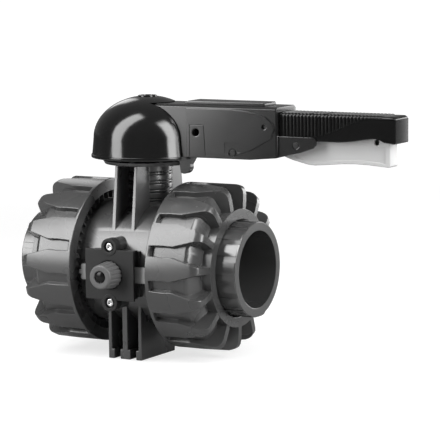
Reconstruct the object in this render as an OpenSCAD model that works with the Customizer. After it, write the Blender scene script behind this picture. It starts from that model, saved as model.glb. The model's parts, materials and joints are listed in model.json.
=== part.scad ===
// True union ball valve for glued plastic pipe, with a lever latch handle.
// +X runs along the pipe towards the lever's end, +Y away from the nut lock, +Z up.
// The origin is the middle of the base's underside, between its two threaded inserts.

/* [Pipe and flow] */
// Outside diameter of the pipe that each socket takes
pipe_d = 75; // [72:0.5:77]
// Depth of each pipe socket
socket_depth = 44; // [34:0.5:46]
// Diameter of the flow passage
flow_d = 65; // [56:0.5:66]
// Height of the pipe axis above the underside of the base
axis_h = 90; // [86:0.5:110]
// Length between the outer faces of the two end connectors
overall_l = 242.6; // [238:0.2:260]
// Wall of the end connector round the pipe
connector_wall = 9; // [8:0.5:10]
// Thickness of the end connector's collar inside the nut
collar_t = 8; // [6:0.5:9]
// Step from the body's ends in to the rim of the end connector's collar
collar_set = 4; // [3:0.5:7]
// Number of shallow grooves along the outside of an end connector
connector_grooves = 16; // [12:1:18]

/* [Ball and seats] */
// Diameter of the ball over that of the flow passage
ball_extra = 25; // [23:0.5:27]
// Clearance between the ball and its seats
seat_gap = 0.3; // [0.25:0.05:0.5]
// Clearance between the ball and the chamber wall
chamber_gap = 2; // [1.5:0.1:2.5]
// Thickness of a seat along the pipe
seat_t = 18; // [15:0.5:20]
// How far the back face of a seat lies inside the ball's end
seat_set = 7; // [5:0.5:9]
// Length of the seat carrier along the pipe
carrier_l = 26; // [23:0.5:29]
// Thickness of a seal ring's cord
seal_d = 3.5; // [3:0.1:4]

/* [Body] */
// Wall of the body round the ball's chamber
barrel_wall = 14; // [12:0.25:16]
// Step from the barrel down to the body's ends inside the nuts
spigot_step = 1; // [0.75:0.25:2]
// Radius of the finned neck
neck_r = 23.6; // [21:0.1:24]
// Height of the pad flange's top face over the pipe axis
flange_top = 102; // [99:0.5:104]
// Thickness of the pad flange
flange_t = 3.5; // [3:0.25:6]
// Radius of the pad flange
flange_r = 43.6; // [42:0.1:45]
// Thickness of each web under the pad flange
web_t = 3.2; // [2.5:0.1:6]
// Distance from the middle to the centre of each web
web_x = 10.9; // [10:0.1:14]
// Half the width of the webs where they leave the barrel
web_half_w = 48.8; // [46:0.1:52]

/* [Base] */
// Width of the base along the pipe
base_w = 37.5; // [36:0.5:44]
// Length of the base across the pipe
base_l = 97.5; // [88:0.5:100]
// Height of the foot plates
foot_h = 9.5; // [8:0.5:12]
// Distance between the two threaded inserts
insert_pitch = 20; // [18:0.5:24]
// Radius of the thread's core in the inserts
insert_hole_r = 2.5; // [2:0.1:3]
// Outer radius of the inserts
insert_r = 4.2; // [3.8:0.1:5]
// Depth of the inserts
insert_depth = 14; // [10:0.5:18]

/* [Union nuts] */
// Width of the ring of locking teeth round the barrel
tooth_ring_w = 8.3; // [7.5:0.1:9]
// Wall of a nut outside its locking teeth
nut_wall = 6.5; // [5:0.25:8]
// Height of the lobes over the floor between them
lobe_h = 5.2; // [4:0.1:7]
// Distance from the middle to a nut's inner face
nut_face = 42; // [41.5:0.25:44]
// Length of a nut along the pipe
nut_l = 59.4; // [57:0.2:62]
// Width of the plain rim
rim_w = 4; // [3:0.25:6]
// Number of lobes on a nut
lobes = 15; // [12:1:17]
// Width of a lobe at the rim
lobe_w = 23.6; // [20:0.2:25]
// Width of a lobe at its front tip
lobe_tip_w = 6.6; // [5:0.2:10]
// Number of locking teeth on a nut
lock_teeth = 48; // [36:1:54]
// Depth of the locking teeth along the pipe
tooth_d = 4.6; // [3.5:0.1:5]
// Width of the flat collar round the connector
nut_collar_w = 10.3; // [8:0.1:12]

/* [Nut lock] */
// Width of the lock housing along the pipe
housing_w = 54.4; // [50:0.2:58]
// Height of the lock housing
housing_h = 49; // [44:0.5:54]
// How far the housing's front face stands out from the barrel
housing_depth = 15; // [14:0.5:18]
// Height of the lock's middle over the pipe axis
lock_z = -3; // [-5:0.5:2]
// Radius of the ears that take the screws
ear_r = 8.4; // [6.5:0.1:9]
// Radius of the lock knob
knob_r = 11.8; // [10:0.1:14]
// Length of the lock knob
knob_l = 18; // [12:0.5:22]
// Height of a locking pawl
pawl_h = 15.2; // [10:0.2:16]
// Gap between a pawl's tip and the nut's face with the nuts free
pawl_gap = 2.4; // [1.6:0.1:3]
// Travel of a pawl into the nut's teeth
pawl_travel = 4; // [3:0.1:4.5]

/* [Lever] */
// How far the hood's rim reaches out past the pad flange
hood_reach = 11.7; // [10:0.1:14]
// Gap between the pad flange and the hood's rim
hood_gap = 2.8; // [2:0.1:4]
// Height of the hood's crown over the arm's upper edges
hood_crown = 8; // [6:0.25:11]
// Wall of the hood
hood_wall = 3; // [2:0.25:4]
// Width of the arm
arm_w = 42; // [40:0.5:46]
// Height of the arm's lower edge over the pad flange
arm_lift = 5.6; // [5.2:0.1:7]
// Height of the arm's flanks
arm_h = 48.9; // [46:0.1:52]
// Distance from the stem axis to the arm's open end
arm_end = 152.7; // [146:0.5:158]
// How far the trigger bracket reaches out of the arm
bracket_l = 40.3; // [36:0.1:46]
// Width of the grip
grip_w = 30; // [28:0.5:32]
// How far the grip reaches out of the arm
grip_l = 120.8; // [112:0.4:130]
// Wall of the hollow grip
grip_wall = 3.2; // [2.5:0.1:4]
// Spacing of the grip's ribs
rib_pitch = 3.7; // [3:0.1:5]
// Height of the grip's ribs
rib_h = 0.8; // [0.4:0.1:1.2]

/* [Trigger and latch] */
// Distance from the arm's open end to the trigger's pin
trigger_pin_out = 19.3; // [17:0.1:22]
// Width of the trigger
trigger_w = 17; // [14:0.5:20]
// Radius of the padlock hole in the trigger
padlock_r = 2.75; // [2.25:0.05:3]
// Distance from the arm's open end back to the latch's pin
latch_pin_in = 45.7; // [43:0.1:48]
// Radius of the trigger's and the latch's pins
pin_r = 3; // [2.5:0.05:3.2]
// Radius of the latch's rounded nib
nib_r = 7; // [5:0.1:7.2]

/* [Fits] */
// Clearance of a turning pin or shaft in its hole
run_fit = 0.05; // [0.02:0.01:0.08]
// Clearance of pieces that are laid or slid into each other
slide_fit = 0.2; // [0.1:0.05:0.3]
// Clearance of pieces that move past each other
free_gap = 0.4; // [0.3:0.05:0.6]

/* [Hidden] */
$fn = 72;
eps = 0.02;

// Pipe and flow
pipe_r = pipe_d / 2;
flow_r = flow_d / 2;
half_l = overall_l / 2;
connector_r = pipe_r + connector_wall;
socket_floor = half_l - socket_depth;

// Ball, seats and their chamber
ball_r = (flow_d + ball_extra) / 2;
chamber_r = ball_r + chamber_gap;
barrel_r = chamber_r + barrel_wall;
spigot_r = barrel_r - spigot_step;
seat_back = ball_r - seat_set;
seat_front = seat_back - seat_t;
spigot_end = seat_back + carrier_l;
collar_r = spigot_r - collar_set;
seat_r = chamber_r - slide_fit;
seal_r = seal_d / 2;
seal_room = seal_d + 2 * slide_fit;
slot_w = 10;
slot_l = 24;
slot_floor = ball_r - 9;
face_seal_r = (spigot_r + chamber_r) / 2;
seat_seal_r = (seat_r + flow_r) / 2;

// Heights of the lever, and distances along it from the stem axis
hood_r = flange_r + hood_reach;
hood_rim = flange_top + hood_gap;
arm_bottom = flange_top + arm_lift;
arm_top = arm_bottom + arm_h;
hood_top = arm_top + hood_crown;
grip_top = arm_top - 3.5;
hub_top = arm_top - 6.5;
bracket_end = arm_end + bracket_l;
grip_end = arm_end + grip_l;
trigger_pin_x = arm_end + trigger_pin_out;
trigger_pin_z = arm_bottom + 15.7;
trigger_end = grip_end - 8;
latch_pin_x = arm_end - latch_pin_in;
latch_pin_z = arm_bottom + 6.4;

// Stem and hub
stem_r = 13;
stem_bore_r = stem_r + run_fit;
stem_collar_r = 16;
stem_collar_top = chamber_r + 5;
drive_w = 18;
drive_top = hub_top - 20;
hub_r = 28;
hub_floor = drive_top + 2;
screw_r = 4;
screw_head_r = 8;

// Nuts
thread_gap = 0.4;
nut_bore_r = spigot_r + thread_gap;
tooth_ring_r = barrel_r + tooth_ring_w;
nut_floor_r = tooth_ring_r + nut_wall;
nut_r = nut_floor_r + lobe_h;
nut_front = nut_face + nut_l;
connector_bore = connector_r + 0.8;
nut_collar_r = connector_bore + nut_collar_w;
nut_shoulder = spigot_end + collar_t + slide_fit;
tooth_root = nut_face + tooth_d + 0.3;
tooth_inner_r = barrel_r + 0.8;
tooth_land = 0.8;
tooth_pitch = 2 * PI * tooth_inner_r / lock_teeth;
lobe_phase = 4.8;
// A gap between two teeth lies at the height of the pawls.
tooth_phase = -asin(lock_z / tooth_inner_r);
floor_end = nut_front - 18.9;
cone_start = nut_front - 15.2;
cone_start_r = nut_floor_r - 2.8;
cone_end = nut_front - 9.9;
cone_end_r = nut_collar_r + 3.4;

// Nut lock
barrel_pad = barrel_r + 0.4;
pad_in = barrel_r - 11;
housing_front = barrel_r + housing_depth;
pawl_tip = nut_face - pawl_gap;
pawl_half = pawl_h / 2;
pawl_back = barrel_pad + 1.4;
pawl_front = tooth_ring_r - 0.9;
knob_foot_r = knob_r + 1.6;
knob_sink = 1.2;
cap_r = 5.2;
cap_t = 3;
ear_lip = 0.8;
pawl_tooth_w = 5;
pawl_tooth_l = 2.4;
ear_top = housing_h / 2 + 2.6;
ear_t = 9;
boss_r = ear_r - 0.8;
screw_tip = barrel_r - 9;
lock_screw_r = 1.65;
cam_short = 5.6;
cam_gap = 0.6;
cam_long = cam_short + pawl_travel - cam_gap / 2;

// Lever
grip_half = grip_w / 2;
channel_half = grip_half + 0.3;
bracket_half = channel_half + 2.4;
arm_half = arm_w / 2;
arm_crown = arm_top + 2;
hood_shoulder = arm_bottom + 16.4;
hood_shoulder_r = hood_r - 1.8;
hood_slot_half = arm_half + 1.2;
plug_r = 9.3;
side_hole_x = hood_r + 11.2;
side_hole_z = arm_bottom + 24.7;
side_hole_r = 3.5;
bracket_top = trigger_pin_z + 8.2;
rib_start = arm_end + 1;
rib_end = grip_end - 11.5;
grip_low = bracket_top - 4.1;
grip_tail = arm_end - 24;
panel_h = 1.6;
grip_screw_x = grip_tail + 12;
grip_screw_z = arm_top - 16.5;
grip_screw_r = 2.2;
padlock_x = trigger_end - 14.1;
padlock_z = trigger_pin_z + 5.1;

// Latch
latch_w = 12;
latch_front = flange_r - 3.1;
latch_back = trigger_pin_x - 22;
nib_x = flange_r + 5.4;
nib_z = flange_top - 4.1;
nib_w = 7;
spring_x = latch_pin_x - 29;
spring_r = 4.6;
spring_wire = 0.9;
spring_turns = 9;

// Turns a shape drawn about Z so that its axis lies along the pipe.
module along_pipe() {
    translate([0, 0, axis_h]) rotate([0, 90, 0]) children();
}

// Draws a side view, given as X and height over the pipe axis, and gives it a width in Y.
module side_plate(half, points) {
    translate([0, half, axis_h]) rotate([90, 0, 0]) linear_extrude(2 * half) polygon(points);
}

// A round bar across the lever at X and a height over the pipe axis.
module cross_bar(x, z, r, half, sides = 48) {
    translate([x, half, axis_h + z]) rotate([90, 0, 0]) cylinder(h = 2 * half, r = r, $fn = sides);
}

// A shape drawn in X along the pipe and Y round it, extruded outwards between two radii.
module radial_prism(points, r0, r1) {
    rotate([0, -90, 0]) translate([0, 0, -r1]) linear_extrude(r1 - r0) polygon(points);
}

// A seal ring about the pipe axis.
module pipe_seal(x, r, cord_r) {
    along_pipe() translate([0, 0, x]) rotate_extrude() translate([r, 0]) circle(r = cord_r, $fn = 24);
}

// A seal ring about the stem axis.
module stem_seal(z, r, cord_r) {
    translate([0, 0, axis_h + z]) rotate_extrude() translate([r, 0]) circle(r = cord_r, $fn = 24);
}

// Points of an arc, for outlines.
function arc(cx, cz, r, a0, a1, n) =
    [for (i = [0:n]) let(a = a0 + (a1 - a0) * i / n) [cx + r * cos(a), cz + r * sin(a)]];

// The smooth S line along the grip, as a cosine ramp between two points.
function s_line(x0, z0, x1, z1, n) =
    [for (i = [0:n]) let(t = i / n) [x0 + (x1 - x0) * t, z0 + (z1 - z0) * (1 - cos(180 * t)) / 2]];

// Body

module barrel() {
    along_pipe() {
        translate([0, 0, -nut_face + 1]) cylinder(h = 2 * nut_face - 2, r = barrel_r, $fn = 120);
        translate([0, 0, -spigot_end]) cylinder(h = 2 * spigot_end, r = spigot_r, $fn = 120);
    }
}

module barrel_bores() {
    along_pipe() {
        translate([0, 0, -spigot_end - 1]) cylinder(h = 2 * spigot_end + 2, r = flow_r, $fn = 120);
        translate([0, 0, -seat_back]) cylinder(h = spigot_end + seat_back + 1, r = chamber_r, $fn = 120);
        for (x = [-spigot_end - eps, spigot_end - seal_room + eps])
            translate([0, 0, x]) rotate_extrude() translate([face_seal_r - seal_room / 2, 0])
                square([seal_room, seal_room]);
        translate([0, 0, -seat_back - seal_room + eps]) rotate_extrude()
            translate([seat_seal_r - seal_room / 2, 0]) square([seal_room, seal_room]);
    }
}

module neck() {
    groove_pitch = 8.6;
    groove_w = 1;
    groove_d = 2.6;
    fin_w = 1.7;
    groove_top = flange_top - 11.4;
    neck_foot = chamber_r + 3;
    translate([0, 0, axis_h]) difference() {
        translate([0, 0, neck_foot]) cylinder(h = flange_top - flange_t - neck_foot, r = neck_r);
        for (i = [0:3], low = [0, groove_w + fin_w])
            translate([0, 0, groove_top - groove_pitch * i - low]) rotate_extrude()
                translate([neck_r - groove_d, 0]) square([groove_d + 2, groove_w]);
    }
}

// The pad flange flares a little, and has pockets for the latch in its top face.
module pad_flange() {
    flare = 1;
    pockets = 7;
    pocket_r = 2.2;
    pocket_d = 1.6;
    translate([0, 0, axis_h + flange_top - flange_t]) difference() {
        cylinder(h = flange_t, r1 = flange_r - flare, r2 = flange_r + flare, $fn = 96);
        for (i = [0:pockets - 1])
            rotate([0, 0, -90 * i / (pockets - 1)]) translate([flange_r - 4.2, 0, flange_t - pocket_d])
                cylinder(h = flange_t, r = pocket_r, $fn = 24);
    }
}

module webs() {
    web_top = flange_top - flange_t + eps;
    web_foot = sqrt(barrel_r * barrel_r - web_half_w * web_half_w) - 0.6;
    web_head = flange_r - 1.4;
    for (side = [-1, 1])
        translate([side * web_x - web_t / 2, 0, axis_h]) rotate([90, 0, 90]) linear_extrude(web_t)
            polygon([[-web_half_w, web_foot], [-web_head, web_top], [web_head, web_top],
                [web_half_w, web_foot]]);
}

module base() {
    outer_rib = 3.7;
    middle_rib = 5.4;
    outer_foot = 6.6;
    middle_foot = 11.5;
    block_half = 17;
    rear_lift = 4;
    half_w = base_w / 2;
    half_base = base_l / 2;
    rib_top = axis_h - barrel_r * cos(asin(half_base / barrel_r)) + 3;
    block_top = axis_h - sqrt(barrel_r * barrel_r - block_half * block_half) + 3;
    difference() {
        union() {
            translate([-half_w, -block_half, 0]) cube([base_w, 2 * block_half, block_top]);
            for (side = [-1, 1]) {
                translate([side > 0 ? half_w - outer_rib : -half_w, -half_base, 0])
                    cube([outer_rib, base_l, rib_top]);
                translate([side > 0 ? half_w - outer_foot : -half_w, -half_base, 0])
                    cube([outer_foot, base_l, foot_h]);
            }
            translate([-middle_rib / 2, -half_base, 0]) cube([middle_rib, base_l, rib_top]);
            translate([-middle_foot / 2, -half_base, 0]) cube([middle_foot, base_l, foot_h]);
        }
        translate([-half_w - 1, block_half - 1, -1]) cube([base_w + 2, half_base, rear_lift + 1]);
        for (side = [-1, 1]) translate([side * insert_pitch / 2, 0, -1])
            cylinder(h = insert_depth + 1, r = insert_r);
    }
}

module lock_pad() {
    pad_w = housing_w - 4;
    pad_h = housing_h - 4;
    boss_front = housing_front - ear_t;
    translate([-pad_w / 2, -barrel_pad, axis_h + lock_z - pad_h / 2])
        cube([pad_w, barrel_pad - pad_in, pad_h]);
    for (s = [-1, 1]) translate([0, -pad_in + 8, axis_h + lock_z + s * ear_top]) rotate([90, 0, 0])
        cylinder(h = boss_front - pad_in + 8, r = boss_r);
}

module lock_screw_holes() {
    for (s = [-1, 1]) translate([0, -screw_tip, axis_h + lock_z + s * ear_top]) rotate([90, 0, 0])
        cylinder(h = housing_front, r = lock_screw_r + run_fit, $fn = 24);
}

module valve_body() {
    color("dimgray") difference() {
        union() {
            barrel();
            neck();
            pad_flange();
            webs();
            base();
            lock_pad();
        }
        barrel_bores();
        lock_screw_holes();
        translate([0, 0, axis_h]) cylinder(h = flange_top + 1, r = stem_bore_r);
        translate([0, 0, axis_h]) cylinder(h = stem_collar_top + slide_fit, r = stem_collar_r + slide_fit);
    }
}

module base_inserts() {
    color("silver") for (side = [-1, 1]) translate([side * insert_pitch / 2, 0, 0]) difference() {
        cylinder(h = insert_depth, r = insert_r - eps);
        translate([0, 0, -1]) cylinder(h = insert_depth - 1, r = insert_hole_r, $fn = 32);
    }
}

// Ball, seats and seals

module ball() {
    color("gray") translate([0, 0, axis_h]) difference() {
        sphere(r = ball_r, $fn = 96);
        rotate([0, 90, 0]) cylinder(h = 2 * ball_r + 2, r = flow_r, center = true, $fn = 96);
        translate([-slot_w / 2, -slot_l / 2, slot_floor]) cube([slot_w, slot_l, ball_r]);
    }
}

module ball_seat() {
    along_pipe() difference() {
        translate([0, 0, seat_front]) cylinder(h = seat_back - seat_front - eps, r = seat_r, $fn = 96);
        translate([0, 0, seat_front - 1]) cylinder(h = seat_back, r = flow_r + slide_fit, $fn = 96);
        sphere(r = ball_r + seat_gap, $fn = 96);
    }
}

module ball_seat_left() {
    color("white") mirror([1, 0, 0]) ball_seat();
}

module ball_seat_right() {
    color("white") ball_seat();
}

module seat_seal_left() {
    color("black") pipe_seal(-seat_back - seal_room / 2 + eps, seat_seal_r, seal_r);
}

module seat_seal_right() {
    color("black") pipe_seal(seat_back + seal_room / 2, seat_seal_r, seal_r);
}

module carrier_seal() {
    color("black") pipe_seal((seat_back + spigot_end) / 2 + 2, seat_r - seal_r, seal_r - slide_fit);
}

module face_seal_left() {
    color("black") pipe_seal(-spigot_end + seal_room / 2, face_seal_r, seal_r);
}

module face_seal_right() {
    color("black") pipe_seal(spigot_end - seal_room / 2, face_seal_r, seal_r);
}

module seat_carrier() {
    color("dimgray") along_pipe() difference() {
        translate([0, 0, seat_back]) cylinder(h = spigot_end - seat_back - eps, r = seat_r, $fn = 96);
        translate([0, 0, seat_back - 1]) cylinder(h = spigot_end, r = flow_r, $fn = 96);
        translate([0, 0, seat_back - eps]) rotate_extrude() translate([seat_seal_r - seal_room / 2, 0])
            square([seal_room, seal_room]);
        translate([0, 0, (seat_back + spigot_end) / 2 + 2 - seal_room / 2]) rotate_extrude()
            translate([seat_r - seal_d, 0]) square([seal_d + 2, seal_room]);
    }
}

// End connectors and union nuts

module end_connector() {
    barrel_chamfer = 1;
    groove_w = 5.7;
    groove_depth = 0.8;
    groove_phase = 3.5;
    along_pipe() difference() {
        union() {
            translate([0, 0, spigot_end]) cylinder(h = collar_t, r = collar_r, $fn = 96);
            translate([0, 0, spigot_end]) cylinder(h = half_l - spigot_end - barrel_chamfer, r = connector_r,
                $fn = 96);
            translate([0, 0, half_l - barrel_chamfer - eps])
                cylinder(h = barrel_chamfer + eps, r1 = connector_r, r2 = connector_r - barrel_chamfer,
                    $fn = 96);
        }
        translate([0, 0, spigot_end - 1]) cylinder(h = half_l, r = flow_r, $fn = 96);
        translate([0, 0, socket_floor]) cylinder(h = socket_depth + 1, r = pipe_r, $fn = 96);
        for (i = [0:connector_grooves - 1])
            rotate([0, 0, 270 + groove_phase + 360 * i / connector_grooves])
                translate([connector_r - groove_depth, -groove_w / 2, nut_front - 2])
                    cube([groove_depth + 2, groove_w, half_l - nut_front + 4]);
    }
}

module end_connector_left() {
    color("gray") mirror([1, 0, 0]) end_connector();
}

module end_connector_right() {
    color("gray") end_connector();
}

// Section of the nut without its lobes, as radius and distance along the pipe.
module nut_core() {
    rotate_extrude($fn = 120) polygon([
        [nut_r, nut_face], [nut_r, nut_face + rim_w], [nut_floor_r, nut_face + rim_w],
        [nut_floor_r, floor_end], [cone_start_r, cone_start], [cone_end_r, cone_end], [nut_collar_r, cone_end],
        [nut_collar_r, nut_front], [connector_bore, nut_front], [connector_bore, nut_shoulder],
        [nut_bore_r, nut_shoulder], [nut_bore_r, tooth_root], [tooth_ring_r, tooth_root],
        [tooth_ring_r, nut_face]]);
}

// Solid of revolution that the lobes are cut from.
module lobe_envelope() {
    rotate_extrude($fn = 120) polygon([
        [nut_floor_r - 4, nut_face + rim_w - 1], [nut_r, nut_face + rim_w - 1], [nut_r, nut_front - 10.4],
        [nut_r - 1.1, nut_front - 6.6], [nut_r - 3, nut_front - 3.9], [nut_r - 5.6, nut_front - 2.1],
        [nut_r - 9.5, nut_front - 1.2], [cone_end_r, nut_front - 0.6], [nut_collar_r - 1, nut_front - 0.6],
        [nut_collar_r - 1, cone_end - 1], [nut_floor_r - 4, floor_end - 3]]);
}

// One lobe seen from outside: wide at the rim, drawn in a little, then tapering to its tip.
module lobe_prism() {
    x0 = nut_face + rim_w - 1.5;
    waist_x = nut_face + 17;
    taper_x = nut_face + 28;
    tip_x = nut_front - 2;
    hw = lobe_w / 2;
    tip = lobe_tip_w / 2;
    radial_prism([[x0, -hw], [waist_x, -hw + 0.7], [taper_x, -hw + 0.3], [tip_x, -tip], [nut_front + 1, -tip],
        [nut_front + 1, tip], [tip_x, tip], [taper_x, hw - 0.3], [waist_x, hw - 0.7], [x0, hw]],
        nut_collar_r - 4, nut_r + 2);
}

// One saw tooth, with its steep flank on one side of its land.
module tooth_prism() {
    radial_prism([[tooth_root + 0.1, tooth_land - tooth_pitch + 0.1], [tooth_root + 0.1, tooth_land],
        [tooth_root - tooth_d, tooth_land / 2], [tooth_root - tooth_d, -tooth_land / 2]],
        tooth_inner_r, tooth_ring_r + 0.3);
}

module union_nut() {
    along_pipe() union() {
        nut_core();
        intersection() {
            lobe_envelope();
            union() for (i = [0:lobes - 1]) rotate([0, 0, 270 - lobe_phase + 360 * i / lobes]) lobe_prism();
        }
        for (i = [0:lock_teeth - 1]) rotate([0, 0, 270 + tooth_phase + 360 * (i + 0.5) / lock_teeth])
            tooth_prism();
    }
}

module union_nut_left() {
    color("dimgray") mirror([1, 0, 0]) union_nut();
}

module union_nut_right() {
    color("dimgray") union_nut();
}

// Nut lock

module lock_housing() {
    back = barrel_pad;
    shaft_hole = 4 + run_fit;
    plate_t = 3;
    block_set = 4;
    plate_back = housing_front - plate_t;
    color([0.16, 0.16, 0.17]) translate([0, 0, axis_h + lock_z]) difference() {
        union() {
            translate([-housing_w / 2, -housing_front, -housing_h / 2])
                cube([housing_w, plate_t, housing_h]);
            translate([-housing_w / 2 + block_set, -plate_back - eps, -housing_h / 2 + 1])
                cube([housing_w - 2 * block_set, plate_back + eps - back, housing_h - 2]);
            for (s = [-1, 1]) translate([0, -housing_front + ear_t, s * ear_top]) rotate([90, 0, 0])
                cylinder(h = ear_t + ear_lip, r = ear_r);
        }
        for (s = [-1, 1]) translate([0, 0, s * ear_top]) rotate([90, 0, 0]) {
            cylinder(h = housing_front + 1, r = 2.2, $fn = 24);
            translate([0, 0, housing_front - 3]) cylinder(h = 6, r = 5.2, $fn = 48);
            translate([0, 0, back - 4]) cylinder(h = housing_front - ear_t - back + 4, r = boss_r + slide_fit);
        }
        rotate([90, 0, 0]) translate([0, 0, housing_front - knob_sink])
            cylinder(h = knob_sink + 1, r = knob_foot_r + 0.9);
        translate([-housing_w / 2 - 1, -pawl_front - slide_fit, -pawl_half - slide_fit])
            cube([housing_w + 2, pawl_front - pawl_back + 2 * slide_fit, pawl_h + 2 * slide_fit]);
        rotate([90, 0, 0]) cylinder(h = housing_front + 1, r = shaft_hole, $fn = 48);
        translate([0, -pawl_back + slide_fit, 0]) rotate([90, 0, 0])
            cylinder(h = pawl_front - pawl_back + 2 * slide_fit, r = cam_long + 1, $fn = 48);
    }
}

module lock_screws() {
    color("silver") for (s = [-1, 1]) translate([0, 0, axis_h + lock_z + s * ear_top]) rotate([90, 0, 0]) {
        translate([0, 0, screw_tip]) cylinder(h = housing_front - 3 - screw_tip, r = lock_screw_r, $fn = 24);
        translate([0, 0, housing_front - 3]) difference() {
            cylinder(h = 2.6, r = 3.7, $fn = 32);
            translate([0, 0, 1.2]) cylinder(h = 2, r = 1.7, $fn = 6);
        }
    }
}

module lock_knob() {
    flutes = 18;
    flute_r = 1.5;
    edge = 2;
    knob_back = housing_front - knob_sink + free_gap;
    knob_front = housing_front + knob_l;
    slant = atan((knob_foot_r - knob_r) / (knob_front - knob_back));
    color("darkgray") translate([0, 0, axis_h + lock_z]) rotate([90, 0, 0]) difference() {
        union() {
            rotate_extrude() polygon(concat([[0, knob_back], [knob_foot_r, knob_back]],
                arc(knob_r - edge, knob_front - edge, edge, 0, 90, 4), [[0, knob_front]]));
            translate([0, 0, pawl_back]) cylinder(h = housing_front - pawl_back + 2, r = 4, $fn = 48);
            translate([0, 0, pawl_back]) linear_extrude(pawl_front - pawl_back)
                polygon([for (a = [0:10:350]) [cam_short * cos(a), cam_long * sin(a)]]);
        }
        for (i = [0:flutes - 1]) rotate([0, 0, 360 * (i + 0.5) / flutes])
            translate([knob_foot_r + flute_r * 0.55, 0, knob_back - 1]) rotate([0, -slant, 0])
                cylinder(h = knob_front - knob_back - 1.5, r = flute_r, $fn = 20);
        translate([0, 0, knob_front - cap_t]) cylinder(h = cap_t + 1, r = cap_r + 0.9);
    }
}

module lock_knob_cap() {
    crown = 0.7;
    crown_r = (cap_r * cap_r + crown * crown) / (2 * crown);
    color([0.3, 0.3, 0.31]) translate([0, 0, axis_h + lock_z]) rotate([90, 0, 0])
        translate([0, 0, housing_front + knob_l - cap_t]) intersection() {
            cylinder(h = cap_t, r = cap_r);
            translate([0, 0, cap_t - 0.3 - crown_r]) sphere(r = crown_r, $fn = 96);
        }
}

// A pawl: a sliding bolt whose middle tooth drops between two teeth of a nut.
module lock_pawl() {
    inner = cam_short + cam_gap;
    shoulder = pawl_tip - pawl_tooth_l;
    root = pawl_tooth_w / 2;
    land = root - 0.6;
    translate([0, -pawl_back, axis_h + lock_z]) rotate([90, 0, 0]) linear_extrude(pawl_front - pawl_back)
        polygon([[inner, pawl_half], [inner, -pawl_half],
            [shoulder - 1, -pawl_half], [shoulder, -pawl_half + 1],
            [shoulder, -root - 1.2], [shoulder - 1.2, -root], [pawl_tip, -land], [pawl_tip, land],
            [shoulder - 1.2, root], [shoulder, root + 1.2],
            [shoulder, pawl_half - 1], [shoulder - 1, pawl_half]]);
}

module lock_pawl_left() {
    color("silver") mirror([1, 0, 0]) lock_pawl();
}

module lock_pawl_right() {
    color("silver") lock_pawl();
}

// Stem and hub

module stem() {
    color("gray") translate([0, 0, axis_h]) difference() {
        union() {
            translate([-slot_w / 2 + slide_fit, -slot_l / 2 + slide_fit, slot_floor + slide_fit])
                cube([slot_w - 2 * slide_fit, slot_l - 2 * slide_fit, ball_r + 1 - slot_floor]);
            translate([0, 0, ball_r + slide_fit]) cylinder(h = stem_collar_top - ball_r - slide_fit,
                r = stem_collar_r);
            translate([0, 0, stem_collar_top - 1]) cylinder(h = flange_top - stem_collar_top + 1.6, r = stem_r);
            translate([-drive_w / 2, -drive_w / 2, flange_top]) cube([drive_w, drive_w, drive_top - flange_top]);
        }
        for (z = [flange_top - 14, flange_top - 26]) translate([0, 0, z]) rotate_extrude()
            translate([stem_r - 2.6, -1.6]) square([4, 3.2]);
        translate([0, 0, drive_top - 22]) cylinder(h = 24, r = screw_r, $fn = 32);
    }
}

module stem_seal_lower() {
    color("black") stem_seal(flange_top - 26, stem_r - 1.3, 1.25);
}

module stem_seal_upper() {
    color("black") stem_seal(flange_top - 14, stem_r - 1.3, 1.25);
}

module hub_washer() {
    color("silver") translate([0, 0, axis_h + hub_floor]) difference() {
        cylinder(h = 2, r = screw_head_r + 2.5);
        translate([0, 0, -1]) cylinder(h = 4, r = screw_r + slide_fit, $fn = 32);
    }
}

module hub_screw() {
    color("silver") translate([0, 0, axis_h + hub_floor + 2]) difference() {
        union() {
            cylinder(h = 6, r = screw_head_r);
            translate([0, 0, -20]) cylinder(h = 20, r = screw_r - run_fit, $fn = 32);
        }
        translate([0, 0, 3]) cylinder(h = 4, r = 4, $fn = 6);
    }
}

// Lever

// Side view of the arm between the hub and its open end.
function arm_outline() = [[0, arm_bottom], [arm_end - 28, arm_bottom + 0.5], [arm_end, arm_bottom + 3],
    [arm_end, arm_crown], [0, arm_crown]];

// Side view of the bracket that carries the trigger, past the arm's end.
function bracket_outline() = concat([[arm_end - 1, arm_bottom + 2.9], [arm_end + 6, arm_bottom + 4.6],
    [arm_end + 24, arm_bottom + 8.8], [bracket_end - 3, arm_bottom + 13.4]],
    arc(bracket_end - 5.5, bracket_top - 5.5, 5.5, -20, 90, 6), [[arm_end - 1, bracket_top]]);

module arm_shell() {
    corner = 3.5;
    intersection() {
        side_plate(arm_half, arm_outline());
        translate([0, 0, axis_h]) rotate([90, 0, 90]) linear_extrude(arm_end + 1)
            polygon([[-arm_half, 0], [arm_half, 0], [arm_half, arm_top], [arm_half - corner, arm_crown],
                [-arm_half + corner, arm_crown], [-arm_half, arm_top]]);
    }
    side_plate(bracket_half, bracket_outline());
}

// Raised side panel with a bullet nose, as on both flanks of the arm.
module side_panels() {
    nose = arm_end - 1.6;
    start = hood_r + 0.7;
    difference() {
        side_plate(arm_half + panel_h, concat([[start, arm_bottom + 1.2], [latch_pin_x + 5, arm_bottom + 4.6],
            [latch_pin_x + 19, arm_bottom + 9.6], [arm_end - 4.7, trigger_pin_z + 5.7]],
            arc(nose - 8, trigger_pin_z + 15.1, 8, -40, 60, 6),
            [[arm_end - 11.7, arm_top - 6.5], [latch_pin_x + 15, arm_top - 2.5], [latch_pin_x - 3, arm_top - 1],
            [start, arm_top - 1]]));
        side_plate(arm_half, [[hub_r, 0], [grip_end, 0], [grip_end, hood_top], [hub_r, hood_top]]);
    }
}

// Cuts both flanks of the arm to a depth, inside a side view.
module flank_cut(depth, points) {
    flank = arm_half + panel_h;
    difference() {
        side_plate(flank + 1, points);
        side_plate(flank - depth, points);
    }
}

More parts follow.
